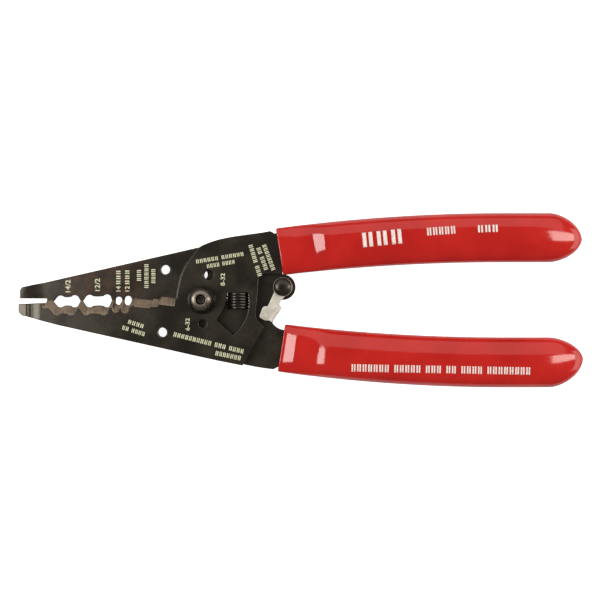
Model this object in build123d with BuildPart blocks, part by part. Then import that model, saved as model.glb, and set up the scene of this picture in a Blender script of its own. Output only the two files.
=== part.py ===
from build123d import *
import math
import os

# Cable and wire stripper: two stamped levers that shear past each other on one pivot.
# X runs from the pivot towards the handles, Y towards the upper handle, and the mating
# plane of the two levers is z = 0 with the front lever above it.

# ---- stock and fits ----------------------------------------------------
plate = 2.6              # thickness of each stamped lever
face_gap = 0.02          # half of the oil gap between the two levers
running = 0.05           # radial clearance of everything that turns

# ---- jaws --------------------------------------------------------------
jaw_overlap = 1.35       # degrees by which the rear edge has passed the front edge when latched
bevel_back = 0.7         # run of the edge bevel towards the nose
bevel_drop = 2.8         # run of the edge bevel away from the cutting edge
nose_end = -64.1
nose_step = (-59.3, -55.8)   # ramp where the nose steps over to the middle plane
nose_rib = (-61.4, -60.6, -60.0, -59.6)   # low rib across the nose, just ahead of the ramp
nose_rib_high = 0.5
nose_fall = 0.35             # how much the outer face falls away towards the very end
blade_start = -54.5
hub_corner = (-9.0, 0.6)     # where the cutting edge ends and the hub begins
slots = {"small": (-52.4, -42.5, -49.7, -44.6), "large": (-41.9, -31.7, -39.6, -33.3)}
slot_depth = 2.5         # from the cutting edge to the bottom of each lobe
waist_depth = 1.85
stripping_holes = ((-29.3, 1.025, 0.6), (-26.0, 1.15, 0.68))   # x, radius, centre depth
loop_hole = {"front": (-13.8, -11.3), "rear": (-13.2, 10.5)}
loop_hole_r = 1.65

# ---- screw shearing holes ---------------------------------------------
# Centre, tapping radius in the front lever, plain radius in the rear lever, and the handle
# angle at which the two line up.
shear_holes = {"8-32": (2.3, 8.5, 1.725, 1.8, 16.0), "6-32": (0.2, -8.3, 1.4, 1.45, 20.0)}

# ---- pivot -------------------------------------------------------------
shoulder_r = 3.0
thread_r = 1.6
nut_r = 5.0
nut_top_r = 2.5
nut_rim = 0.6
nut_height = 4.6
screw_below = 1.3        # how far the screw stops short of the top of the nut
screw_head_r = 4.6
screw_head = 1.9
washer_r = 5.6
washer = 0.5

# ---- spring ------------------------------------------------------------
spring_x = 12.3
spring_y = (-3.2, 2.5)   # the two window edges it pushes on
spring_r = 3.17          # to the middle of the wire
wire_r = 0.43
spring_turns = 4.4
nib_half = 1.1
nib_long = 1.5
nib_thick = 1.7

# ---- latch -------------------------------------------------------------
rivet_at = (27.9, 4.4)
lug_r = 4.45
latch_t = 1.5
latch_eye_r = 3.3
flange_high = 5.6
rivet_r = 1.7
rivet_head_r = 3.2
rivet_head = 1.7
latch_washer_t = 0.25

# ---- grips -------------------------------------------------------------
grip_thick = 10.0
grip_round = 4.0
sleeve = 1.5             # wall between the edge of the tang and the outside of the grip
# Half thickness along the grip: a thin mouth, then a step up to the full hand hold.
grip_swell = ((24.0, 2.7), (29.5, 3.3), (37.0, 3.6), (46.0, 4.9), (60.0, grip_thick / 2))
grip_fall = ((112.0, grip_thick / 2), (124.0, 4.5), (134.0, 2.6))

grip_mouth = ((25.5, 24.6), (28.1, 8.2))    # outer and inner corner of the open end
grip_level = (30.0, 13.1)                    # outer and inner edge where the grip runs straight
grip_straight = (105.0, 121.1)
grip_tip = 132.2
tip_wall = 4.0               # the dip is this many times thicker at the tip than at the sides
mouth_round = 1.1                            # corners of the open end, seen in plan
rear_shift = (0.6, -0.4)     # the rear grip is the same moulding, mirrored and moved by this

sides = {"front": 1, "rear": -1}
os.makedirs("parts", exist_ok=True)


def jaw_point(x, y, side):
    """A point of the front jaw, or its mirror image turned to where the rear jaw is."""
    if side == "front":
        return (x, y)
    turned = Vector(x, -y, 0).rotate(Axis.Z, jaw_overlap)
    return (turned.X, turned.Y)


def jaw_polyline(side, *points):
    """Straight run along one jaw."""
    Polyline(*[jaw_point(x, y, side) for x, y in points])


def jaw_arc(side, start, middle, end):
    """Arc along one jaw."""
    ThreePointArc(*[jaw_point(x, y, side) for x, y in (start, middle, end)])


def cable_slot(side, left, right, left_lobe, right_lobe):
    """One half of a flat-cable slot: two lobes with a waist between them."""
    lobe = 1.15
    shallow = waist_depth - 0.1
    waist = (left_lobe + right_lobe) / 2
    neck = lobe * 1.05
    jaw_polyline(side, (left, 0), (left_lobe - lobe, -shallow))
    jaw_arc(side, (left_lobe - lobe, -shallow), (left_lobe, -slot_depth), (left_lobe + neck, -2.0))
    jaw_arc(side, (left_lobe + neck, -2.0), (waist, -waist_depth), (right_lobe - neck, -2.0))
    jaw_arc(side, (right_lobe - neck, -2.0), (right_lobe, -slot_depth), (right_lobe + lobe, -shallow))
    jaw_polyline(side, (right_lobe + lobe, -shallow), (right, 0))


def wire_notch(side, x, r, depth):
    """One half of a round stripping hole."""
    jaw_polyline(side, (x - r, 0), (x - r, -depth))
    jaw_arc(side, (x - r, -depth), (x, -depth - r), (x + r, -depth))
    jaw_polyline(side, (x + r, -depth), (x + r, 0))


def cutting_edge(side):
    """The whole cutting edge of one jaw, from the nose to the hub."""
    small, large = slots["small"], slots["large"]
    (x1, r1, depth1), (x2, r2, depth2) = stripping_holes
    jaw_polyline(side, (blade_start, -0.15), (small[0], 0))
    cable_slot(side, *small)
    jaw_polyline(side, (small[1], 0), (large[0], 0))
    cable_slot(side, *large)
    jaw_polyline(side, (large[1], 0), (x1 - r1, 0))
    wire_notch(side, x1, r1, depth1)
    jaw_polyline(side, (x1 + r1, 0), (x2 - r2, 0))
    wire_notch(side, x2, r2, depth2)
    jaw_polyline(side, (x2 + r2, 0), (-23.1, 1.1), (-22.7, 0.45), (-17.5, -0.05), (-17.2, 0.45),
                 (-14.9, 0.35), (-14.4, 1.25), hub_corner)


def hub_curve(side):
    """The long arc of one lever round the pivot, from the cutting edge to the outer rim."""
    sign = sides[side]
    start = jaw_point(*hub_corner, side)
    top = (-0.7, 18.4 * sign)
    Spline(start, (-8.5, 4.6 * sign), (-5.1, 13.3 * sign), top,
           tangents=[(0, sign), (0.75, sign)], tangent_scalars=[0.6, 0.8])


def grip_outline(inset=0.0):
    """Plan of the front grip, or of the tang inside it when inset from the outside."""
    (out_x, out_y), (in_x, in_y) = grip_mouth
    high = grip_level[0] - inset
    low = grip_level[1] + inset
    start, stop = grip_straight
    TangentArc((start, high), (out_x, out_y - inset), tangent=(-1, 0))
    Line((start, high), (stop, high))
    reach = grip_tip - inset * tip_wall - stop
    EllipticalCenterArc((stop, (high + low) / 2), reach, (high - low) / 2,
                        start_angle=-90, arc_size=180)
    Line((stop, low), (start, low))
    TangentArc((start, low), (in_x, in_y + inset), tangent=(-1, 0))
    Line((in_x, in_y + inset), (out_x, out_y - inset))


def grip_sketch(inset=0.0):
    """The outline of the front grip as a face."""
    with BuildSketch() as face:
        with BuildLine():
            grip_outline(inset)
        make_face()
    return face.sketch


def nose_profile(side):
    """Side view of a lever: full plate, stepped over to the middle plane at the nose."""
    near = face_gap
    far = plate + face_gap
    half = plate / 2
    sign = sides[side]
    beyond = grip_tip + 8
    ramp_start, ramp_end = nose_step
    inner_lag = 0.6
    rib_start, rib_up, rib_down, rib_end = nose_rib
    rib = half + nose_rib_high
    root = half + nose_rib_high * 0.4
    with BuildSketch(Plane.XZ) as profile:
        with BuildLine():
            Polyline((nose_end, (half - nose_fall) * sign), (rib_start, half * sign), (rib_up, rib * sign),
                     (rib_down, rib * sign), (rib_end, root * sign), (ramp_start, root * sign),
                     (ramp_end, far * sign), (beyond, far * sign), (beyond, near * sign),
                     (ramp_end + inner_lag, near * sign), (ramp_start + inner_lag, -half * sign),
                     (nose_end, -half * sign), close=True)
        make_face()
    return profile.sketch


def bevel_region(side):
    """The open mouth above one cutting edge, to be swept along the slope of the bevel."""
    sign = sides[side]
    clear_of_edge = 7.0
    with BuildSketch(Plane.XY.offset(face_gap * sign)) as mouth:
        with BuildLine():
            cutting_edge(side)
            Polyline(jaw_point(*hub_corner, side), jaw_point(hub_corner[0], clear_of_edge, side),
                     jaw_point(blade_start, clear_of_edge, side), jaw_point(blade_start, -0.15, side))
        make_face()
    return mouth.sketch


def spring_window(side):
    """Curved window round the pivot; its flat end is the seat of the spring."""
    sign = sides[side]
    seat = spring_y[1] if side == "front" else spring_y[0]
    with BuildSketch() as window:
        with BuildLine():
            Polyline((8.65, seat), (15.95, seat))
            ThreePointArc((15.95, seat), (15.0, -6.6 * sign), (10.6, -12.4 * sign))
            Polyline((10.6, -12.4 * sign), (4.9, -7.1 * sign))
            ThreePointArc((4.9, -7.1 * sign), (7.55, -2.7 * sign), (8.65, seat))
        make_face()
    return window.sketch


def shear_hole_at(name, side):
    """Centre of a screw shearing hole; in the rear lever it waits where the open front one lands."""
    x, y, _, _, open_angle = shear_holes[name]
    if side == "front":
        return (x, y)
    turned = Vector(x, y, 0).rotate(Axis.Z, open_angle)
    return (turned.X, turned.Y)


def round_at(centre, radius):
    """A circle on the mating plane, for a hole through a lever."""
    with BuildSketch() as hole:
        with Locations(centre):
            Circle(radius)
    return hole.sketch


def lever(side, draw_outline):
    """A lever: hub and jaw outline, tang, stepped nose, bevelled edge, window and holes."""
    sign = sides[side]
    with BuildPart() as blank:
        with BuildSketch():
            with BuildLine():
                draw_outline()
            make_face()
            tang = grip_sketch(sleeve)
            if side == "rear":
                tang = tang.mirror(Plane.XZ).moved(Location((*rear_shift, 0)))
            add(tang)
        extrude(amount=plate * 2, both=True)
        extrude(to_extrude=nose_profile(side), amount=60, both=True, mode=Mode.INTERSECT)
        slope = Vector(-bevel_back, -bevel_drop * sign, plate * sign) * 1.02
        extrude(to_extrude=bevel_region(side), amount=slope.length, dir=slope, mode=Mode.SUBTRACT)
        extrude(to_extrude=spring_window(side), amount=plate * 2, both=True, mode=Mode.SUBTRACT)
        holes = [((0, 0), shoulder_r + running), (loop_hole[side], loop_hole_r)]
        for name, (_, _, thread, clear, _) in shear_holes.items():
            holes.append((shear_hole_at(name, side), thread if side == "front" else clear))
        for centre, radius in holes:
            hole = round_at(centre, radius)
            extrude(to_extrude=hole, amount=plate * 2, both=True, mode=Mode.SUBTRACT)
        nib_seat = spring_y[1] if side == "front" else spring_y[0]
        with BuildSketch(Plane.XY.offset(face_gap * sign)):
            with Locations((spring_x, nib_seat + (0.2 - nib_long) / 2 * sign)):
                Rectangle(nib_half * 2, nib_long + 0.2)
        extrude(amount=nib_thick * sign)
    return blank.part


def front_outline():
    """Plan of the front lever without its tang: lower jaw and hub."""
    nose_top = -1.45
    Polyline((nose_end, nose_top), (blade_start, -1.12), (blade_start, -0.15))
    cutting_edge("front")
    hub_curve("front")
    Spline((-0.7, 18.4), (5.9, 20.9), (12.9, 22.2), (23.6, 23.8))
    Polyline((23.6, 23.8), (25.2, 22.9), (30.0, 22.9), (30.0, 10.6), (27.8, 9.9), (27.8, 8.85), (21.5, 8.9))
    ThreePointArc((21.5, 8.9), (20.0, 8.35), (19.5, 7.0))
    Polyline((19.5, 7.0), (19.2, 1.6), (18.6, -4.4))
    ThreePointArc((18.6, -4.4), (18.7, -6.0), (19.8, -7.7))
    Polyline((19.8, -7.7), (21.2, -9.2), (21.3, -9.8), (17.1, -17.4), (14.7, -21.7), (14.0, -22.8))
    Spline((14.0, -22.8), (5.9, -21.2), (-1.05, -19.7))
    Polyline((-1.05, -19.7), (-49.9, -8.8), (-61.8, -5.65))
    ThreePointArc((-61.8, -5.65), (-63.4, -5.1), (nose_end, -4.0))
    Polyline((nose_end, -4.0), (nose_end, nose_top))


def rear_outline():
    """Plan of the rear lever without its tang: upper jaw, hub and latch lug."""
    nose_low = 0.42
    end = nose_end + 0.6
    lug_x, lug_y = rivet_at
    Polyline((end, nose_low), (blade_start, nose_low), jaw_point(blade_start, -0.15, "rear"))
    cutting_edge("rear")
    hub_curve("rear")
    Spline((-0.7, -18.4), (5.9, -20.4), (13.0, -22.3), (24.6, -24.3))
    Polyline((24.6, -24.3), (26.2, -23.5), (30.0, -23.6), (30.0, -11.1), (28.2, -10.65))
    ThreePointArc((28.2, -10.65), (26.1, -9.9), (24.2, -8.1))
    Polyline((24.2, -8.1), (27.0, lug_y - lug_r + 0.1), (lug_x, lug_y - lug_r))
    ThreePointArc((lug_x, lug_y - lug_r), (lug_x + lug_r, lug_y), (lug_x, lug_y + lug_r))
    Polyline((lug_x, lug_y + lug_r), (27.3, 9.9), (22.5, 10.4), (19.9, 12.0), (17.1, 17.4), (14.7, 20.6))
    Spline((14.7, 20.6), (5.9, 19.7), (-1.05, 18.4))
    Polyline((-1.05, 18.4), (-49.9, 7.2), (-61.8, 4.6))
    ThreePointArc((-61.8, 4.6), (-63.1, 4.0), (end, 2.9))
    Polyline((end, 2.9), (end, nose_low))


def grip_side():
    """Side view of the front grip, thin at the mouth and at the tip."""
    middle = face_gap + plate / 2
    mouth_x, mouth_half = grip_swell[0]
    tip_x, tip_half = grip_fall[-1]
    with BuildSketch(Plane.XZ) as side_view:
        with BuildLine():
            for sign in (1, -1):
                swell = [(x, middle + half * sign) for x, half in grip_swell]
                fall = [(x, middle + half * sign) for x, half in grip_fall]
                Spline(*swell, tangents=[(1, 0.12 * sign), (1, 0)])
                Line(swell[-1], fall[0])
                Spline(*fall, tangents=[(1, 0), (1, -0.35 * sign)])
            Line((mouth_x, middle + mouth_half), (mouth_x, middle - mouth_half))
            Line((tip_x, middle + tip_half), (tip_x, middle - tip_half))
        make_face()
    return side_view.sketch


def grip_blank():
    """The dipped grip of the front lever: rounded all over, with a close pocket for the tang."""
    middle = face_gap + plate / 2
    pocket_gap = 0.04
    with BuildPart() as blank:
        with BuildSketch(Plane.XY.offset(middle)):
            add(grip_sketch())
        extrude(amount=grip_thick / 2, both=True)
        caps = blank.faces().sort_by(Axis.Z)
        long_edges = (caps[-1].edges() + caps[0].edges()).filter_by_position(Axis.X, 40, 140)
        fillet(long_edges, grip_round)
        extrude(to_extrude=grip_side(), amount=40, both=True, mode=Mode.INTERSECT)
        fillet(blank.edges().filter_by(Axis.Z).sort_by(Axis.X)[:2], mouth_round)
        with BuildSketch(Plane.XY.offset(middle)):
            add(grip_sketch(sleeve - pocket_gap))
            with Locations((26, 16.5)):
                Rectangle(5, 13.4)
        extrude(amount=plate / 2 + pocket_gap, both=True, mode=Mode.SUBTRACT)
    return blank.part


# ---- levers --------------------------------------------------------------
with BuildPart() as front_lever:
    add(lever("front", front_outline))
front_lever.part.label = "front_lever"
export_step(front_lever.part, "parts/front_lever.step")

with BuildPart() as rear_lever:
    add(lever("rear", rear_outline))
    rivet_hole = round_at(rivet_at, rivet_r + running)
    extrude(to_extrude=rivet_hole, amount=plate * 2, both=True, mode=Mode.SUBTRACT)
rear_lever.part.label = "rear_lever"
export_step(rear_lever.part, "parts/rear_lever.step")

# ---- grips ---------------------------------------------------------------
# The lower wall of the front grip stops at the mating plane where the lug of the rear lever
# passes under it.
lug_pass = 0.12
with BuildPart() as front_grip:
    add(grip_blank())
    with BuildSketch(Plane.XY.offset(lug_pass)):
        with Locations((29.5, 7.6)):
            Rectangle(8, 4.2)
    extrude(amount=-grip_thick, mode=Mode.SUBTRACT)
front_grip.part.label = "front_grip"
export_step(front_grip.part, "parts/front_grip.step")

with BuildPart() as rear_grip:
    add(grip_blank().rotate(Axis.X, 180).moved(Location((*rear_shift, 0))))
rear_grip.part.label = "rear_grip"
export_step(rear_grip.part, "parts/rear_grip.step")

# ---- pivot ---------------------------------------------------------------
back_face = -(plate + face_gap)
front_face = plate + face_gap
washer_top = back_face - 0.03
head_top = washer_top - washer
nut_base = front_face + 0.04
screw_top = nut_base + nut_height - screw_below

with BuildPart() as pivot_screw:
    with BuildSketch(Plane.XZ):
        with BuildLine():
            Polyline((0, head_top - screw_head), (screw_head_r - 1.2, head_top - screw_head))
            ThreePointArc((screw_head_r - 1.2, head_top - screw_head),
                          (screw_head_r - 0.3, head_top - screw_head * 0.68),
                          (screw_head_r, head_top - 0.3))
            Polyline((screw_head_r, head_top - 0.3), (screw_head_r, head_top),
                     (shoulder_r, head_top), (shoulder_r, nut_base), (thread_r, nut_base),
                     (thread_r, screw_top - 0.3), (thread_r - 0.3, screw_top),
                     (0, screw_top), (0, head_top - screw_head))
        make_face()
    revolve(axis=Axis.Z)
    with BuildSketch(Plane.XY.offset(head_top - screw_head)):
        RegularPolygon(1.75, 6)
    extrude(amount=1.2, mode=Mode.SUBTRACT)
    with BuildSketch(Plane.XY.offset(screw_top)):
        RegularPolygon(0.95, 6)
    extrude(amount=-1.2, mode=Mode.SUBTRACT)
pivot_screw.part.label = "pivot_screw"
export_step(pivot_screw.part, "parts/pivot_screw.step")

with BuildPart() as pivot_nut:
    with BuildSketch(Plane.XZ):
        with BuildLine():
            Polyline((thread_r + running, nut_base), (nut_r, nut_base), (nut_r, nut_base + nut_rim))
            ThreePointArc((nut_r, nut_base + nut_rim), (nut_r - 1.0, nut_base + nut_height * 0.62),
                          (nut_top_r, nut_base + nut_height))
            Polyline((nut_top_r, nut_base + nut_height), (thread_r + 0.35, nut_base + nut_height),
                     (thread_r + running, nut_base + nut_height - 0.4), (thread_r + running, nut_base))
        make_face()
    revolve(axis=Axis.Z)
pivot_nut.part.label = "pivot_nut"
export_step(pivot_nut.part, "parts/pivot_nut.step")

with BuildPart() as pivot_washer:
    with BuildSketch(Plane.XY.offset(washer_top - washer)):
        Circle(washer_r)
        Circle(shoulder_r + running, mode=Mode.SUBTRACT)
    extrude(amount=washer)
pivot_washer.part.label = "pivot_washer"
export_step(pivot_washer.part, "parts/pivot_washer.step")

# ---- spring --------------------------------------------------------------
spring_low = spring_y[0] + wire_r + 0.02
spring_high = spring_y[1] - wire_r - 0.02
with BuildPart() as return_spring:
    with BuildLine() as coil:
        Helix(pitch=(spring_high - spring_low) / spring_turns, height=spring_high - spring_low,
              radius=spring_r, center=(spring_x, spring_low, 0), direction=(0, 1, 0))
    with BuildSketch(Plane(origin=coil.line @ 0, z_dir=coil.line % 0)):
        Circle(wire_r)
    sweep()
return_spring.part.label = "return_spring"
export_step(return_spring.part, "parts/return_spring.step")

# ---- latch ---------------------------------------------------------------
latch_base = face_gap + 0.04
latch_top = latch_base + latch_t
with BuildPart() as lock_latch:
    with BuildSketch(Plane.XY.offset(latch_base)):
        with BuildLine():
            Polyline((25.0, 2.8), (22.7, -2.3), (21.4, -2.3), (20.8, -2.9), (19.85, -5.7), (20.1, -6.3),
                     (21.7, -7.2), (23.6, -7.35), (24.2, -7.7), (27.5, -3.1), (26.8, -1.7), (26.9, -0.8),
                     (30.2, 2.8), close=True)
        make_face()
        with Locations(rivet_at):
            Circle(latch_eye_r)
            Circle(rivet_r + running, mode=Mode.SUBTRACT)
    extrude(amount=latch_t)
    with BuildSketch(Plane.XY.offset(latch_base)):
        with BuildLine():
            Polyline((24.2, -7.7), (27.5, -3.1), (26.65, -2.45), (23.35, -7.05), close=True)
        make_face()
    extrude(amount=flange_high)
lock_latch.part.label = "lock_latch"
export_step(lock_latch.part, "parts/lock_latch.step")

washer_base = latch_top + 0.04
rivet_head_base = washer_base + latch_washer_t
with BuildPart() as latch_washer:
    with BuildSketch(Plane.XY.offset(washer_base)):
        with Locations(rivet_at):
            Circle(latch_eye_r - 0.35)
            Circle(rivet_r + running, mode=Mode.SUBTRACT)
    extrude(amount=latch_washer_t)
latch_washer.part.label = "latch_washer"
export_step(latch_washer.part, "parts/latch_washer.step")

dome_base = rivet_head_base + 0.25
dome = rivet_head - 0.25
dome_r = (rivet_head_r ** 2 + dome ** 2) / (2 * dome)
dome_half_angle = math.asin(rivet_head_r / dome_r) / 2
dome_middle = (dome_r * math.sin(dome_half_angle),
               dome_base + dome - dome_r + dome_r * math.cos(dome_half_angle))
tail_r = 2.9
tail = 0.9
rivet_plane = Plane(origin=(rivet_at[0], rivet_at[1], 0), x_dir=(1, 0, 0), z_dir=(0, -1, 0))
with BuildPart() as latch_rivet:
    with BuildSketch(rivet_plane):
        with BuildLine():
            Polyline((0, back_face - tail), (tail_r - 1.4, back_face - tail))
            ThreePointArc((tail_r - 1.4, back_face - tail), (tail_r - 0.35, back_face - tail * 0.65),
                          (tail_r, back_face))
            Polyline((tail_r, back_face), (rivet_r, back_face), (rivet_r, rivet_head_base),
                     (rivet_head_r, rivet_head_base), (rivet_head_r, dome_base))
            ThreePointArc((rivet_head_r, dome_base), dome_middle, (0, dome_base + dome))
            Polyline((0, dome_base + dome), (0, back_face - tail))
        make_face()
    revolve(axis=Axis(origin=(rivet_at[0], rivet_at[1], 0), direction=(0, 0, 1)))
latch_rivet.part.label = "latch_rivet"
export_step(latch_rivet.part, "parts/latch_rivet.step")
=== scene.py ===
import math

import bmesh
import bpy
from mathutils import Matrix, Vector
from mathutils.bvhtree import BVHTree


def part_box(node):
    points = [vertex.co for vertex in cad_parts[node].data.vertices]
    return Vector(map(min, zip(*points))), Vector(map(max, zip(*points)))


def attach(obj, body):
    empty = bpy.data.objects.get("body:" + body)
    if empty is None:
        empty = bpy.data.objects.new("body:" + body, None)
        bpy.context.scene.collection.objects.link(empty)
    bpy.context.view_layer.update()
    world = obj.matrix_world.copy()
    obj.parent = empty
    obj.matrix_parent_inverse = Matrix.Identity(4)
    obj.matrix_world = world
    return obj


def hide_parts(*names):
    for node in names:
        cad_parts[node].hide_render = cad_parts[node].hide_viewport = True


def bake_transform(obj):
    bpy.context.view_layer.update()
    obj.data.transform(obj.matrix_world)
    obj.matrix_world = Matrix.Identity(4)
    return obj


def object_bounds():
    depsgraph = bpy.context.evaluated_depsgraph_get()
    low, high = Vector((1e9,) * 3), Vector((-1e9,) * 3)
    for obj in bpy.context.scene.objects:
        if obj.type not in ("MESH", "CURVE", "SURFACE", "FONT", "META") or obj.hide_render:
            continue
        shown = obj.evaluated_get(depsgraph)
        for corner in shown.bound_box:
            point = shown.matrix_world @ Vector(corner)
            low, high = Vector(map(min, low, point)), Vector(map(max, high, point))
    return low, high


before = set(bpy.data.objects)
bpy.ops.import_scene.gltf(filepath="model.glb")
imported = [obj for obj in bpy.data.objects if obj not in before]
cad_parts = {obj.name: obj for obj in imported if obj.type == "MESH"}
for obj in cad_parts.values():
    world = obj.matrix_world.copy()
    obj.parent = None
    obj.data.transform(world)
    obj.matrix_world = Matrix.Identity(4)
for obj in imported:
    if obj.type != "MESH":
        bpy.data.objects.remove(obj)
cad_low, cad_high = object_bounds()

MM = 0.001
TURN = 2 * math.pi
ORIGIN = Vector((0, 0, 0))

# Thickness of the lever plates, and the heights of their faces that show from the front.
PLATE = 2.6 * MM
FRONT_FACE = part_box("front_lever")[1].z
REAR_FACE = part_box("rear_lever")[0].z + PLATE


# ---- node materials ------------------------------------------------------------------
class Shader:
    """A node material and the few node calls that the materials below are written with."""

    def __init__(self, name):
        self.material = bpy.data.materials.new(name)
        self.material.use_nodes = True
        self.tree = self.material.node_tree
        self.surface = self.tree.nodes["Principled BSDF"]
        self.place = self.add("TexCoord").outputs["Object"]

    def add(self, kind, **settings):
        made = self.tree.nodes.new("ShaderNode" + kind)
        for key, value in settings.items():
            setattr(made, key, value)
        return made

    def feed(self, socket, value):
        """Links a socket to a socket, or sets it to a plain value."""
        if isinstance(value, bpy.types.NodeSocket):
            self.tree.links.new(value, socket)
        else:
            socket.default_value = value

    def noise(self, size, detail=3.0, stretch=(1, 1, 1)):
        """Noise whose features are about size millimetres across."""
        scaled = self.add("Mapping")
        self.feed(scaled.inputs["Vector"], self.place)
        scaled.inputs["Scale"].default_value = [s / (size * MM) for s in stretch]
        made = self.add("TexNoise")
        self.feed(made.inputs["Vector"], scaled.outputs["Vector"])
        made.inputs["Scale"].default_value = 1.0
        made.inputs["Detail"].default_value = detail
        return made.outputs["Fac"]

    def axis(self, letter, source=None):
        """One coordinate of a vector socket, the object's own place if none is given."""
        split = self.add("SeparateXYZ")
        self.feed(split.inputs[0], source or self.place)
        return split.outputs[letter]

    def maths(self, operation, a, b=0.5):
        made = self.add("Math", operation=operation)
        self.feed(made.inputs[0], a)
        self.feed(made.inputs[1], b)
        return made.outputs[0]

    def step(self, value, low, high, to_low=0.0, to_high=1.0):
        """A smooth step from to_low at low to to_high at high."""
        made = self.add("MapRange", interpolation_type="SMOOTHSTEP")
        for name, number in (("From Min", low), ("From Max", high), ("To Min", to_low), ("To Max", to_high)):
            self.feed(made.inputs[name], number)
        self.feed(made.inputs["Value"], value)
        return made.outputs["Result"]

    def between(self, value, low, high, soft):
        """1 where value is between low and high, with soft edges."""
        rise = self.step(value, low - soft, low + soft)
        fall = self.step(value, high - soft, high + soft, 1.0, 0.0)
        return self.maths("MULTIPLY", rise, fall)

    def blend(self, share, a, b):
        """Colour a where share is 0 and colour b where it is 1."""
        made = self.add("Mix", data_type="RGBA")
        self.feed(made.inputs["Factor"], share)
        self.feed(made.inputs[6], a)
        self.feed(made.inputs[7], b)
        return made.outputs[2]

    def bump(self, height, distance, strength=1.0, over=None):
        """A bump of the given height in millimetres, laid over another bump."""
        made = self.add("Bump")
        made.inputs["Strength"].default_value = strength
        made.inputs["Distance"].default_value = distance * MM
        self.feed(made.inputs["Height"], height)
        if over is not None:
            self.feed(made.inputs["Normal"], over)
        return made.outputs["Normal"]

    def worn_edges(self, width):
        """A normal that rounds the sharp edges over the given width in metres."""
        made = self.add("Bevel", samples=8)
        self.feed(made.inputs["Radius"], width)
        return made.outputs["Normal"]

    def finish(self, **sockets):
        """Sets the surface's sockets; underscores stand for spaces."""
        for name, value in sockets.items():
            self.feed(self.surface.inputs[name.replace("_", " ")], value)
        return self.material


def rgb(red, green, blue):
    """A colour given as it looks on screen, 0 to 255, as linear light."""
    linear = []
    for channel in (red, green, blue):
        share = channel / 255
        linear.append(share / 12.92 if share < 0.04045 else ((share + 0.055) / 1.055) ** 2.4)
    return (*linear, 1.0)


# Where the steel looks different from the rest of the part.
JAW_STAIN_X = (-50 * MM, -22 * MM)      # warm stain of the upper jaw
GROUND_X = (-56 * MM, -8.5 * MM)        # bevels ground bare along the cutting edges
HUB_ARC_X = (-11 * MM, 2 * MM)          # broadly rounded edge of the front hub
HUB_ARC_Y = (1 * MM, 15 * MM)
NUT_WEAR_Z = (6.7 * MM, 7.2 * MM)       # the nut is worn bright from here to its top


def oxide_steel():
    """Black-oxide stamped steel: bare on the ground bevels, stained brown on the upper jaw."""
    s = Shader("oxide_steel")
    x = s.axis("X")
    y = s.axis("Y")
    cloud = s.noise(9.0, 4.0)
    grain = s.noise(0.35, 3.0)
    stain = s.noise(3.2, 5.0)
    steel = s.blend(s.step(cloud, 0.35, 0.68), rgb(22, 19, 14), rgb(40, 35, 27))
    on_jaw = s.between(x, *JAW_STAIN_X, 4 * MM)
    upper = s.step(y, 0.5 * MM, 2.5 * MM)
    rust = s.maths("MULTIPLY", s.maths("MULTIPLY", on_jaw, upper), s.step(stain, 0.36, 0.72))
    steel = s.blend(s.maths("MULTIPLY", rust, 0.75), steel, rgb(70, 42, 33))
    facing = s.maths("ABSOLUTE", s.axis("Z", s.add("NewGeometry").outputs["True Normal"]))
    ground = s.between(facing, 0.35, 0.9, 0.04)
    ground = s.maths("MULTIPLY", ground, s.between(x, *GROUND_X, 0.6 * MM))
    lines = s.noise(0.22, 2.0, (1, 0.08, 0.08))
    bare = s.blend(s.step(lines, 0.25, 0.75), rgb(134, 116, 98), rgb(178, 158, 136))
    bare = s.blend(s.step(stain, 0.42, 0.7, 0.0, 0.6), bare, rgb(104, 82, 66))
    rough = s.step(cloud, 0.3, 0.7, 0.18, 0.25)
    rough = s.maths("ADD", rough, s.maths("MULTIPLY", grain, 0.08))
    at_arc = s.maths("MULTIPLY", s.between(x, *HUB_ARC_X, 2 * MM), s.between(y, *HUB_ARC_Y, 4 * MM))
    edge = s.maths("ADD", s.maths("MULTIPLY", at_arc, 0.9 * MM), 0.35 * MM)
    relief = s.bump(grain, 0.012, 0.2, s.worn_edges(edge))
    relief = s.bump(s.maths("MULTIPLY", lines, ground), 0.02, 0.4, relief)
    return s.finish(Base_Color=s.blend(ground, steel, bare), Metallic=s.maths("MULTIPLY", ground, 0.55),
                    Roughness=rough, Normal=relief, Specular_IOR_Level=0.5,
                    Specular_Tint=(1.0, 0.92, 0.78, 1))


def turned_steel():
    """Black turned steel: fine rings round the pivot, worn brighter at the top of the nut."""
    s = Shader("turned_steel")
    x_squared, y_squared = (s.maths("POWER", s.axis(letter), 2.0) for letter in "XY")
    out = s.maths("SQRT", s.maths("ADD", x_squared, y_squared))
    rings = s.add("TexNoise", noise_dimensions="1D")
    s.feed(rings.inputs["W"], s.maths("MULTIPLY", out, 1 / (0.16 * MM)))
    rings.inputs["Scale"].default_value = 1.0
    grain = s.noise(0.5, 3.0)
    worn = s.step(s.axis("Z"), *NUT_WEAR_Z)
    tone = s.blend(s.step(grain, 0.35, 0.7), rgb(48, 42, 36), rgb(86, 77, 66))
    tone = s.blend(s.maths("MULTIPLY", worn, 0.5), tone, rgb(160, 148, 132))
    relief = s.bump(rings.outputs["Fac"], 0.05, 0.5)
    relief = s.bump(grain, 0.01, 0.3, relief)
    return s.finish(Base_Color=tone, Metallic=0.85, Roughness=s.step(grain, 0.3, 0.7, 0.24, 0.36),
                    Normal=relief, Coat_Weight=0.2, Coat_Roughness=0.15)


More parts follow.
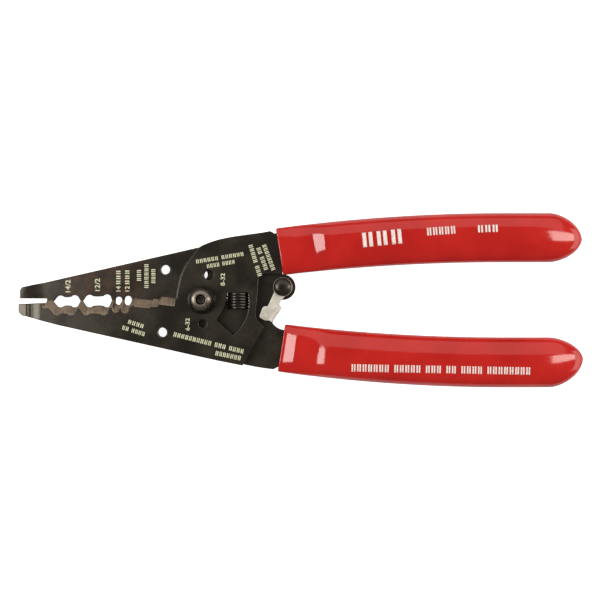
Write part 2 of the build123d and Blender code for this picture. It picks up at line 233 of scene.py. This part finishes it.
def rivet_steel():
    """Smooth black rivet head with faint smears."""
    s = Shader("rivet_steel")
    grain = s.noise(0.4, 3.0)
    smear = s.noise(2.5, 3.0)
    tone = s.blend(s.step(smear, 0.35, 0.65), rgb(50, 44, 38), rgb(66, 59, 51))
    return s.finish(Base_Color=tone, Metallic=0.85, Roughness=s.step(smear, 0.3, 0.7, 0.26, 0.34),
                    Normal=s.bump(grain, 0.006, 0.3), Coat_Weight=0.15, Coat_Roughness=0.1)


def spring_wire():
    """Dark drawn wire with a fine uneven grain."""
    s = Shader("spring_wire")
    grain = s.noise(0.3, 3.0)
    tone = s.blend(s.step(grain, 0.35, 0.7), rgb(42, 39, 35), rgb(72, 67, 60))
    return s.finish(Base_Color=tone, Metallic=0.9, Roughness=s.step(grain, 0.3, 0.7, 0.2, 0.3),
                    Normal=s.bump(grain, 0.01, 0.4))


def zinc_plate():
    """Bright zinc plate: brushed one way, with a fine grain and a few dark specks."""
    s = Shader("zinc_plate")
    brush = s.noise(0.16, 3.0, (1, 0.1, 1))
    cloud = s.noise(2.2, 4.0)
    specks = s.noise(0.28, 2.0)
    tone = s.blend(s.step(cloud, 0.35, 0.65), rgb(224, 216, 205), rgb(206, 198, 184))
    tone = s.blend(s.step(specks, 0.66, 0.74, 0.0, 0.5), tone, rgb(96, 90, 80))
    relief = s.bump(brush, 0.02, 0.35, s.worn_edges(0.3 * MM))
    relief = s.bump(specks, 0.015, 0.3, relief)
    return s.finish(Base_Color=tone, Metallic=0.35, Roughness=s.step(brush, 0.3, 0.7, 0.34, 0.52),
                    Normal=relief)


def vinyl():
    """Dipped red vinyl: glossy, faintly mottled, with the slight orange peel of a dip."""
    s = Shader("red_vinyl")
    cloud = s.noise(14.0, 3.0)
    peel = s.noise(2.6, 2.0)
    fine = s.noise(0.3, 2.0)
    tone = s.blend(s.step(cloud, 0.3, 0.7), rgb(181, 25, 19), rgb(195, 33, 25))
    rough = s.maths("ADD", s.step(cloud, 0.3, 0.7, 0.06, 0.09), s.maths("MULTIPLY", fine, 0.03))
    grazing = s.add("LayerWeight").outputs["Facing"]
    relief = s.bump(peel, 0.06, 0.22)
    relief = s.bump(fine, 0.006, 0.2, relief)
    return s.finish(Base_Color=tone, Roughness=rough, Normal=relief,
                    Specular_IOR_Level=s.step(grazing, 0.45, 0.9, 0.5, 0.08),
                    Subsurface_Weight=0.05, Subsurface_Radius=(1.0, 0.3, 0.2), Subsurface_Scale=1.5 * MM)


def ink(name, light, dark):
    """Printed marks, thin in places so that the tone breaks up."""
    s = Shader(name)
    patchy = s.noise(0.5, 3.0)
    return s.finish(Base_Color=s.blend(s.step(patchy, 0.3, 0.62), dark, light), Roughness=0.55,
                    Normal=s.bump(patchy, 0.01, 0.4))


# ---- mesh helpers --------------------------------------------------------------------
def new_object(name, mesh, material, body, bends=False):
    """Links a mesh as a piece, gives it its material and lets it ride on a body."""
    piece = bpy.data.objects.new(name, mesh)
    bpy.context.scene.collection.objects.link(piece)
    mesh.materials.clear()
    mesh.materials.append(material)
    if not bends:
        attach(piece, body)
    return piece


def mesh_from(name, build):
    """A mesh made by build(bm), with its faces turned outwards and smooth."""
    bm = bmesh.new()
    build(bm)
    bmesh.ops.remove_doubles(bm, verts=bm.verts, dist=0.0004 * MM)
    bmesh.ops.recalc_face_normals(bm, faces=bm.faces)
    for face in bm.faces:
        face.smooth = True
    mesh = bpy.data.meshes.new(name)
    bm.to_mesh(mesh)
    bm.free()
    return mesh


def soften(piece, width, angle=28):
    """Breaks the sharp edges of a piece with a small bevel, as tumbling or wear does."""
    bevel = piece.modifiers.new("broken_edges", "BEVEL")
    bevel.width = width * MM
    bevel.segments = 2
    bevel.limit_method = "ANGLE"
    bevel.angle_limit = math.radians(angle)
    bevel.use_clamp_overlap = False
    weighted = piece.modifiers.new("flat_faces", "WEIGHTED_NORMAL")
    weighted.keep_sharp = False


def copy_node(node, name, material, body, width):
    """The exact shape of a CAD node as a new piece, with its edges broken."""
    bm = bmesh.new()
    bm.from_mesh(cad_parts[node].data)
    bmesh.ops.remove_doubles(bm, verts=bm.verts, dist=0.001 * MM)
    bmesh.ops.dissolve_limit(bm, angle_limit=math.radians(1.0), verts=bm.verts, edges=bm.edges)
    for face in bm.faces:
        face.smooth = True
    mesh = bpy.data.meshes.new(name)
    bm.to_mesh(mesh)
    bm.free()
    piece = new_object(name, mesh, material, body)
    soften(piece, width)
    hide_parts(node)


def turned(profile, centre):
    """Builder of a closed profile of (radius, height) points turned round a vertical axis."""
    steps = 72

    def build(bm):
        rings = []
        for step in range(steps):
            angle = TURN * step / steps
            out = Vector((math.cos(angle), math.sin(angle), 0))
            rings.append([bm.verts.new(centre + out * r + Vector((0, 0, z))) for r, z in profile])
        for step in range(steps):
            here, there = rings[step], rings[(step + 1) % steps]
            for i in range(len(profile)):
                j = (i + 1) % len(profile)
                if profile[i][0] > 0 or profile[j][0] > 0:
                    bm.faces.new((here[i], here[j], there[j], there[i]))

    return build


# ---- grips ---------------------------------------------------------------------------
# Millimetres, drawn for the front grip with the middle of its plate at zero height.
MOUTH_OUT = Vector((25.5, 24.8))    # outer corner of the open end
LEVEL_X = 105.0                     # the edges bow up to here and then run level
SHOULDER_X = 120.3                  # the tip starts here
OGIVE = 1.75                        # 2 would be an ellipse; less is more pointed
NECK_X = (27.7, 31.9)               # the thin mouth rises to the neck between these
SWELL_X = (38.4, 43.2)              # the neck rises to the hand hold between these
DOME_X = 108                        # the thickness starts to fall off towards the tip here
HOLD_HALF = 4.85                    # half thickness of the hand hold
WALL = 1.44                         # vinyl beside the tang
TANG_HALF = 1.345                   # half height of the pocket for the tang
POCKET_X = (1.4, 94)                # the pocket runs between these distances from the mouth
POCKET_POWER = 12.0                 # power of a section: 2 is an oval, more is squarer
MOUTH_POWER = 3.4
RIM_DEPTH = 0.6                     # the rim of the mouth ends this far in
PLATE_MIDDLE = (FRONT_FACE - PLATE / 2) / MM
REAR_SHIFT = Vector((0.6, -0.4, 0))  # of the rear grip, from the front one turned over

# Round the rim: distance in from the open end, and share of the full section there.
RIM = ((0.9, 0.0), (0.25, 0.35), (0.0, 0.62), (0.06, 0.82), (0.3, 0.95))

# The block cut away under the front grip.
LUG_MIDDLE, LUG_SIZE = Vector((29.5, 7.4, -4.88)), Vector((8, 4.6, 10))

# How the two dips differ: inner corner of the mouth, level of the outer and inner edge, tip,
# half thickness at mouth and neck. The front mouth stands clear of the closed latch.
FRONT_DIP = (Vector((28.1, 8.55)), 30.1, 13.0, Vector((131.7, 20.9)), 2.2, 2.95)
REAR_DIP = (Vector((28.1, 8.2)), 30.3, 12.75, Vector((132.4, 20.3)), 2.0, 3.3)


def bow(x, level, end):
    """Height of a grip edge: level at LEVEL_X and bowed down to its end at the mouth."""
    drop = level - end.y
    radius = ((LEVEL_X - end.x) ** 2 + drop ** 2) / (2 * drop)
    away = max(0.0, LEVEL_X - x)
    return level - radius + math.sqrt(radius ** 2 - away ** 2)


def rail(level, end, tip):
    """One edge of the grip in plan, from the mouth to the pointed tip."""
    along_side, round_tip = 72, 26
    points = []
    for step in range(along_side + 1):
        share = step / along_side
        x = end.x + (SHOULDER_X - end.x) * (1 - math.cos(math.pi * share / 2)) ** 0.9
        points.append(Vector((x, bow(x, level, end))))
    reach, half = tip.x - SHOULDER_X, level - tip.y
    for step in range(1, round_tip + 1):
        angle = math.pi / 2 * step / round_tip
        x = SHOULDER_X + reach * math.sin(angle) ** (2 / OGIVE)
        points.append(Vector((x, tip.y + half * max(0.0, math.cos(angle)) ** (2 / OGIVE))))
    return points


def smooth(x, low, high):
    """0 below low, 1 above high and smooth between."""
    share = min(1.0, max(0.0, (x - low) / (high - low)))
    return share * share * (3 - 2 * share)


def ramp(x, low, high, soft):
    """0 below low, 1 above high and straight between, with corners eased over soft."""
    shares = [(x + soft * i / 4 - low) / (high - low) for i in range(-4, 5)]
    return sum(min(1.0, max(0.0, share)) for share in shares) / len(shares)


def half_thickness(x, tip, mouth, neck):
    """Half thickness of the grip along its length: thin mouth, neck, hand hold, domed tip."""
    base = mouth + (neck - mouth) * ramp(x, *NECK_X, 0.3)
    base += (HOLD_HALF - neck) * ramp(x, *SWELL_X, 0.9) + 0.15 * smooth(x, 43, 58)
    if x > DOME_X:
        share = min(1.0, (x - DOME_X) / (tip.x - DOME_X))
        base *= max(0.02, 1 - share ** 3.4) ** 0.5
    return base


def section(out, inner, half, power, lean=0.0):
    """Ring of points round a grip section between its two plan edges, its crown leaning outwards."""
    steps = 48
    middle, reach = (out + inner) / 2, (out - inner) / 2
    ring = []
    for step in range(steps):
        angle = TURN * step / steps
        c, s = math.cos(angle), math.sin(angle)
        across = math.copysign(abs(c) ** (2 / power), c)
        up = math.copysign(abs(s) ** (2 / power), s)
        across += lean * abs(up) * (1 - across ** 2)
        plan = middle + reach * across
        ring.append(Vector((plan.x, plan.y, half * up)))
    return ring


def grip_rings(mouth_in, level_out, level_in, tip, mouth, neck):
    """Rings of the grip from deep in its pocket, round the rim of the mouth and out to the tip."""
    rings = []
    stations = list(zip(rail(level_out, MOUTH_OUT, tip), rail(level_in, mouth_in, tip)))
    pocket = [pair for pair in stations if POCKET_X[0] < pair[0].x - MOUTH_OUT.x < POCKET_X[1]]
    for out, inner in reversed(pocket):
        across = (out - inner).normalized()
        rings.append(section(out - across * WALL, inner + across * WALL, TANG_HALF, POCKET_POWER))
    out, inner = stations[0]
    across = (out - inner).normalized()
    inwards = Vector((across.y, -across.x))
    full = half_thickness(out.x, tip, mouth, neck)
    for depth, swell in RIM:
        shift = inwards * depth
        inset = across * (WALL * (1 - swell))
        half = TANG_HALF + (full - TANG_HALF) * swell
        power = POCKET_POWER + (MOUTH_POWER - POCKET_POWER) * swell
        rings.append(section(out + shift - inset, inner + shift + inset, half, power))
    for out, inner in stations:
        if out.x - MOUTH_OUT.x < RIM_DEPTH:
            continue
        x = (out.x + inner.x) / 2
        # Squarer at the mouth, rounder and leaning outwards along the hand hold.
        power = MOUTH_POWER - 0.9 * smooth(x, 33, 41) - 0.2 * smooth(x, 110, 130)
        lean = 0.2 * smooth(x, 32, 40) * (1 - smooth(x, 112, 131))
        rings.append(section(out, inner, half_thickness(x, tip, mouth, neck), power, lean))
    return rings


def grip_mesh(name, rear):
    """The dipped grip of one lever; the rear one is much the same shape turned over."""

    def build(bm):
        rows = []
        for ring in grip_rings(*(REAR_DIP if rear else FRONT_DIP)):
            points = [Vector((p.x, p.y, p.z + PLATE_MIDDLE)) for p in ring]
            if rear:
                points = [Vector((p.x, -p.y, -p.z)) + REAR_SHIFT for p in points]
            rows.append([bm.verts.new(p * MM) for p in points])
        count = len(rows[0])
        for a, b in zip(rows, rows[1:]):
            for i in range(count):
                j = (i + 1) % count
                bm.faces.new((a[i], a[j], b[j], b[i]))
        bm.faces.new(rows[0])
        bm.faces.new(rows[-1])

    return mesh_from(name, build)


def lug_relief(name):
    """A block that clears the front grip where the lug of the rear lever passes under it."""
    mesh = mesh_from(name, lambda bm: bmesh.ops.create_cube(bm, size=1.0))
    mesh.transform(Matrix.Diagonal((*(LUG_SIZE * MM), 1)))
    mesh.transform(Matrix.Translation(LUG_MIDDLE * MM))
    cutter = bpy.data.objects.new(name, mesh)
    bpy.context.scene.collection.objects.link(cutter)
    return cutter


def add_grips(red):
    """Both grips, as pieces that stand for the CAD grips."""
    for node, body, rear in (("front_grip", "front", False), ("rear_grip", "rear", True)):
        mesh = grip_mesh(node + "_dip", rear)
        piece = new_object(node + "_dip", mesh, red, body)
        if not rear:
            cutter = lug_relief("lug_cutter")
            cut = piece.modifiers.new("lug_relief", "BOOLEAN")
            cut.object = cutter
            cut.solver = "EXACT"
            bake(piece)
            bpy.data.objects.remove(cutter)
        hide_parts(node)


def bake(piece):
    """Applies every modifier of a piece to its mesh."""
    graph = bpy.context.evaluated_depsgraph_get()
    flat = bpy.data.meshes.new_from_object(piece.evaluated_get(graph))
    piece.modifiers.clear()
    piece.data = flat


# ---- turned parts --------------------------------------------------------------------
def add_pivot(steel):
    """Screw, washer and domed nut of the pivot."""
    low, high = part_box("pivot_nut")
    base, top = low.z / MM, high.z / MM
    rim, crown, bore, socket = 5.0, 2.5, 1.66, 1.85
    dome = [(rim, base + 0.15), (rim, base + 0.45), (rim - 0.15, base + 0.6)]
    for step in range(1, 15):
        share = step / 15
        dome.append((rim - 0.15 - (rim - 0.15 - crown) * share ** 1.25,
                     base + 0.6 + (top - base - 0.72) * math.sin(math.pi / 2 * share) ** 0.9))
    profile = [(bore, base), (rim - 0.15, base)] + dome
    profile += [(crown, top - 0.08), (crown - 0.12, top), (socket, top), (bore, top - 0.2)]
    nut = [(r * MM, z * MM) for r, z in profile]
    mesh = mesh_from("nut", turned(nut, ORIGIN))
    piece = new_object("pivot_nut_turned", mesh, steel, "rear")
    soften(piece, 0.06, 40)
    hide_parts("pivot_nut")
    copy_node("pivot_screw", "pivot_screw_body", steel, "rear", 0.12)
    copy_node("pivot_washer", "pivot_washer_flat", steel, "rear", 0.08)


def add_rivet(steel):
    """Domed rivet of the latch with the thin washer under its head."""
    low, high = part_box("latch_rivet")
    centre = Vector(((low.x + high.x) / 2, (low.y + high.y) / 2, 0))
    head_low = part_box("latch_washer")[1].z / MM
    top, bottom = high.z / MM, low.z / MM
    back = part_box("rear_lever")[0].z / MM
    shank, head, edge = 1.7, 3.2, 0.3
    profile = [(0.0, bottom), (1.6, bottom), (2.2, bottom + 0.12), (2.65, bottom + 0.4), (2.85, back - 0.05),
               (2.8, back), (shank, back), (shank, head_low), (head - 0.1, head_low),
               (head, head_low + 0.12), (head, head_low + edge)]
    rise = top - head_low - edge
    for step in range(1, 13):
        angle = math.pi / 2 * step / 12
        radius = head * max(0.0, math.cos(angle)) ** 0.85
        profile.append((radius, head_low + edge + rise * math.sin(angle)))
    profile[-1] = (0.0, top)
    mesh = mesh_from("rivet", turned([(r * MM, z * MM) for r, z in profile], centre))
    piece = new_object("latch_rivet_dome", mesh, steel, "rear")
    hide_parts("latch_rivet")
    copy_node("latch_washer", "latch_washer_thin", steel, "rear", 0.05)


# ---- spring --------------------------------------------------------------------------
WIRE = 0.465 * MM                # radius of the wire
COILS = 6
FLATNESS = 0.5                   # 1 would be a round wire; less is flatter where the coils touch
BELLY = 0.17 * MM                # how much wider the middle coils are than the end ones
SEATS_Y = (-3.2 * MM, 2.5 * MM)  # edges of the rear and of the front window


def coil_height(turn, low, high):
    """Height along the spring: each coil lies level over its front half and climbs behind."""
    whole = min(math.floor(turn), COILS - 1)
    climb = smooth(turn - whole, 0.45, 1.0)
    return low + (high - low) * min(COILS - 1, whole + climb) / (COILS - 1)


def add_spring(steel):
    """Close coil between the two window edges, attached to neither lever."""
    low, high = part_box("return_spring")
    around, steps = 20, 360
    turns = COILS - 0.5
    radius = (high.x - low.x) / 2 + 0.04 * MM - WIRE
    centre_x = (low.x + high.x) / 2
    start, stop = SEATS_Y[0] + WIRE, SEATS_Y[1] - WIRE

    def build(bm):
        rings = []
        for step in range(steps + 1):
            turn = turns * step / steps
            out = Vector((math.cos(TURN * turn), 0, math.sin(TURN * turn)))
            y = coil_height(turn, start, stop)
            belly = 1 - ((2 * y - start - stop) / (stop - start)) ** 4
            middle = Vector((centre_x, y, 0)) + out * (radius + BELLY * belly)
            ring = []
            for i in range(around):
                c, s = math.cos(TURN * i / around), math.sin(TURN * i / around)
                outwards = WIRE * math.copysign(abs(c) ** FLATNESS, c)
                sideways = WIRE * math.copysign(abs(s) ** FLATNESS, s)
                ring.append(bm.verts.new(middle + out * outwards + Vector((0, sideways, 0))))
            rings.append(ring)
        for a, b in zip(rings, rings[1:]):
            for i in range(around):
                j = (i + 1) % around
                bm.faces.new((a[i], a[j], b[j], b[i]))
        bm.faces.new(rings[0])
        bm.faces.new(rings[-1])

    mesh = mesh_from("coil", build)
    piece = new_object("return_spring_coil", mesh, steel, None, bends=True)
    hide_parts("return_spring")
    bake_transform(piece)


# ---- printed marks -------------------------------------------------------------------
INK = 0.03                    # thickness of a tick, mm
WORD_GAP = 0.7                # gap between groups, in ticks


def numerals(text, centre, length, angle, height):
    """Plain numerals as flat faces, centred at a point and scaled to a length along the text."""
    curve = bpy.data.curves.new("numerals", "FONT")
    curve.body = text
    curve.align_x, curve.align_y = "CENTER", "CENTER"
    curve.extrude = 0.02
    curve.offset = 0.022             # a slightly heavier stroke
    letters = bpy.data.objects.new("numerals", curve)
    bpy.context.scene.collection.objects.link(letters)
    graph = bpy.context.evaluated_depsgraph_get()
    mesh = bpy.data.meshes.new_from_object(letters.evaluated_get(graph))
    bpy.data.objects.remove(letters)
    xs = [v.co.x for v in mesh.vertices]
    ys = [v.co.y for v in mesh.vertices]
    middle = Vector(((min(xs) + max(xs)) / 2, (min(ys) + max(ys)) / 2, 0))
    wide = length * MM / (max(xs) - min(xs))
    tall = height * MM / (max(ys) - min(ys))
    mesh.transform(Matrix.Translation(-middle))
    mesh.transform(Matrix.Diagonal((wide, tall, 0.6 * MM, 1)))
    mesh.transform(Matrix.Rotation(math.radians(angle), 4, "Z"))
    mesh.transform(Matrix.Translation(Vector((centre[0], centre[1], 0)) * MM))
    return mesh


def tick(bm, centre, size, angle):
    """One printed tick: a thin flat bar in short lengths, so that it can follow a curved face."""
    along = Vector((math.cos(angle), math.sin(angle), 0)) * (size[0] / 2)
    across = Vector((-math.sin(angle), math.cos(angle), 0)) * (size[1] / 2)
    lengths = 8
    rings = []
    for i in range(lengths + 1):
        spot = centre + across * (2 * i / lengths - 1) * MM
        corners = [(side, 0) for side in (-1, 0, 1)] + [(side, INK) for side in (1, 0, -1)]
        ring = [spot + (along * side + Vector((0, 0, lift))) * MM for side, lift in corners]
        rings.append([bm.verts.new(corner) for corner in ring])
    for a, b in zip(rings, rings[1:]):
        for i in range(len(a)):
            j = (i + 1) % len(a)
            bm.faces.new((a[i], a[j], b[j], b[i]))
    bm.faces.new(rings[0])
    bm.faces.new(rings[-1])


def tick_row(bm, start, end, cap, level, words):
    """A row of ticks from start to end in groups, in place of a line of print."""
    run = Vector((end[0] - start[0], end[1] - start[1], 0))
    angle = math.atan2(run.y, run.x)
    cells = sum(words) + WORD_GAP * (len(words) - 1)
    pitch = run.length / cells
    place = 0.0
    for word in words:
        for _ in range(word):
            middle = Vector((start[0], start[1], 0)) + run.normalized() * (pitch * (place + 0.5))
            for offset in (-0.23, 0.2):
                spot = middle + run.normalized() * (pitch * offset) + Vector((0, 0, level / MM))
                tick(bm, spot * MM, (pitch * 0.27, cap), angle)
            place += 1
        place += WORD_GAP


def print_piece(name, rows, numbers, level, body, material):
    """One body's printed marks as a single thin piece just proud of the face."""

    def build(bm):
        for start, end, cap, words in rows:
            tick_row(bm, start, end, cap, level, words)
        for text, centre, length, angle, height in numbers:
            mesh = numerals(text, centre, length, angle, height)
            mesh.transform(Matrix.Translation((0, 0, level + 0.015 * MM)))
            bm.from_mesh(mesh)
            bpy.data.meshes.remove(mesh)

    return new_object(name, mesh_from(name, build), material, body)


def grip_print(name, rows, grip, body, material):
    """Rows of plain ticks printed on a grip: built flat, then laid on its top surface."""

    def build(bm):
        for start, end, cap, words in rows:
            tick_row(bm, start, end, cap, 0.0, words)

    mesh = mesh_from(name, build)
    surface = BVHTree.FromObject(grip, bpy.context.evaluated_depsgraph_get())
    above = 50 * MM
    for vertex in mesh.vertices:
        top = surface.ray_cast(Vector((vertex.co.x, vertex.co.y, above)), Vector((0, 0, -1)))[0]
        vertex.co.z += top.z + 0.02 * MM
    return new_object(name, mesh, material, body)


def add_prints():
    """Size numerals beside the holes and rows of plain ticks where longer notes are printed."""
    cream = ink("print_cream", rgb(226, 226, 190), rgb(176, 174, 140))
    upper_rows = [
        ((-29.5, 5.2), (-29.5, 10.4), 1.5, (3,)),
        ((-26.4, 5.2), (-26.4, 10.5), 1.5, (3,)),
        ((-22.3, 6.4), (-22.3, 10.6), 1.5, (3,)),
        ((-19.7, 3.9), (-19.7, 12.6), 1.5, (6,)),
        ((-17.3, 5.6), (-17.3, 10.9), 1.5, (4,)),
    ]
    upper_numbers = [
        ("14/2", (-47.1, 4.75), 4.4, 90, 1.8),
        ("12/2", (-36.8, 5.2), 4.4, 90, 1.8),
        ("14", (-29.5, 3.8), 1.9, 90, 1.6),
        ("12", (-26.4, 3.8), 1.9, 90, 1.6),
    ]
    print_piece("print_upper_jaw", upper_rows, upper_numbers, REAR_FACE, "rear", cream)
    front_rows = [
        ((-2.2, 13.1), (14.5, 15.9), 1.4, (6, 6)),
        ((1.6, 11.5), (11.4, 13.2), 1.4, (4, 4)),
        ((16.7, 19.1), (20.1, 8.0), 1.5, (5, 3)),
        ((19.4, 18.1), (22.3, 10.2), 1.5, (2, 4)),
        ((21.4, 19.1), (24.8, 10.1), 1.5, (8,)),
        ((-19.7, -12.0), (-27.7, -9.5), 1.5, (4, 2)),
        ((-20.1, -9.3), (-25.7, -7.5), 1.5, (4,)),
        ((14.5, -18.0), (-10.0, -11.9), 1.6, (4, 3, 10)),
        ((13.5, -20.3), (4.5, -18.4), 1.6, (7,)),
    ]
    front_numbers = [
        ("8-32", (7.2, 7.0), 4.4, 90, 1.5),
        ("6-32", (-5.0, -8.55), 4.3, 90, 1.5),
    ]
    print_piece("print_front_lever", front_rows, front_numbers, FRONT_FACE, "front", cream)
    white = ink("print_white", rgb(246, 236, 230), rgb(226, 196, 188))
    front_grip, rear_grip = (bpy.data.objects[n + "_dip"] for n in ("front_grip", "rear_grip"))
    front_grip_rows = [
        ((54.6, 20.3), (69.4, 21.8), 5.0, (3,)),
        ((77.0, 23.2), (87.2, 23.9), 2.7, (5,)),
        ((94.3, 24.2), (101.8, 24.4), 2.5, (3,)),
    ]
    grip_print("print_front_grip", front_grip_rows, front_grip, "front", white)
    grip_print("print_rear_grip", [((51.4, -23.5), (113.5, -24.6), 2.6, (7, 5, 3, 2, 4, 8))],
               rear_grip, "rear", white)


# ---- stage ---------------------------------------------------------------------------
def add_floor():
    """Plain white sheet under the tool, evenly pale and not seen from below."""
    s = Shader("floor_sheet")
    tooth = s.noise(1.5, 2.0)
    seen = s.add("LightPath").outputs["Is Camera Ray"]
    s.finish(Base_Color=(0.8, 0.8, 0.8, 1), Roughness=0.8, Normal=s.bump(tooth, 0.01, 0.1),
             Emission_Color=(1, 1, 1, 1), Emission_Strength=s.step(seen, 0.0, 1.0, 0.12, 0.9),
             Alpha=s.maths("SUBTRACT", 1.0, s.add("NewGeometry").outputs["Backfacing"]))
    half = 8.0
    level = cad_low.z - 0.3 * MM

    def build(bm):
        bmesh.ops.create_grid(bm, x_segments=8, y_segments=8, size=half)
        bmesh.ops.translate(bm, verts=bm.verts, vec=(0, 0, level))

    mesh = mesh_from("floor", build)
    if mesh.polygons[0].normal.z < 0:
        mesh.flip_normals()
    mesh.materials.append(s.material)
    floor = bpy.data.objects.new("floor", mesh)
    bpy.context.scene.collection.objects.link(floor)


def panel(name, azimuth, off_zenith, distance, size, radiance, colour):
    """A soft panel light aimed at the middle of the tool."""
    lamp = bpy.data.lights.new(name, "AREA")
    lamp.shape = "RECTANGLE"
    lamp.size, lamp.size_y = size
    lamp.energy = radiance * math.pi * size[0] * size[1]
    lamp.color = colour
    light = bpy.data.objects.new(name, lamp)
    bpy.context.scene.collection.objects.link(light)
    a, z = math.radians(azimuth), math.radians(off_zenith)
    away = Vector((math.sin(a) * math.sin(z), math.cos(a) * math.sin(z), math.cos(z)))
    light.location = Vector((34 * MM, 0, 0)) + away * distance
    light.rotation_euler = away.to_track_quat("Z", "Y").to_euler()


def add_lights():
    """Large panel on the front grip's side, a softbox at each end and a dim low one past the grips."""
    panel("back_panel", 0, 40, 0.8, (1.5, 0.75), 0.9, (1.0, 0.98, 0.94))
    panel("left_box", -86, 40.5, 0.7, (0.28, 0.28), 10.0, (1.0, 0.98, 0.95))
    panel("right_box", 84, 46, 0.7, (0.15, 0.4), 8.5, (1.0, 0.96, 0.9))
    panel("right_fill", 90, 74, 0.7, (0.6, 0.3), 2.2, (1.0, 0.97, 0.92))
    world = bpy.data.worlds.new("studio")
    world.use_nodes = True
    nodes, links = world.node_tree.nodes, world.node_tree.links
    sky = nodes["Background"]
    sky.inputs["Color"].default_value = (0.98, 0.99, 1.0, 1)
    seen = nodes.new("ShaderNodeLightPath").outputs["Is Camera Ray"]
    level = nodes.new("ShaderNodeMapRange")
    level.inputs["To Min"].default_value, level.inputs["To Max"].default_value = 0.2, 1.0
    links.new(seen, level.inputs["Value"])
    links.new(level.outputs["Result"], sky.inputs["Strength"])
    bpy.context.scene.world = world
    bpy.context.scene.view_settings.view_transform = "Standard"


def add_camera():
    """Looks straight down, a touch to the left of the middle of the flat tool."""
    lens = bpy.data.cameras.new("camera")
    lens.sensor_width = 36.0
    distance, field = 290 * MM, 209.4 * MM
    lens.lens = lens.sensor_width * distance / field
    camera = bpy.data.objects.new("camera", lens)
    middle = (cad_low + cad_high) / 2
    camera.location = (middle.x - 0.45 * MM, -0.1 * MM, distance)
    bpy.context.scene.collection.objects.link(camera)
    bpy.context.scene.camera = camera


# ---- the tool ------------------------------------------------------------------------
black = oxide_steel()
turned_black = turned_steel()
copy_node("rear_lever", "rear_lever_plate", black, "rear", 0.2)
copy_node("front_lever", "front_lever_plate", black, "front", 0.2)
add_grips(vinyl())
add_pivot(turned_black)
add_rivet(rivet_steel())
add_spring(spring_wire())
copy_node("lock_latch", "lock_latch_plate", zinc_plate(), "latch", 0.12)
add_prints()
add_floor()
add_lights()
add_camera()
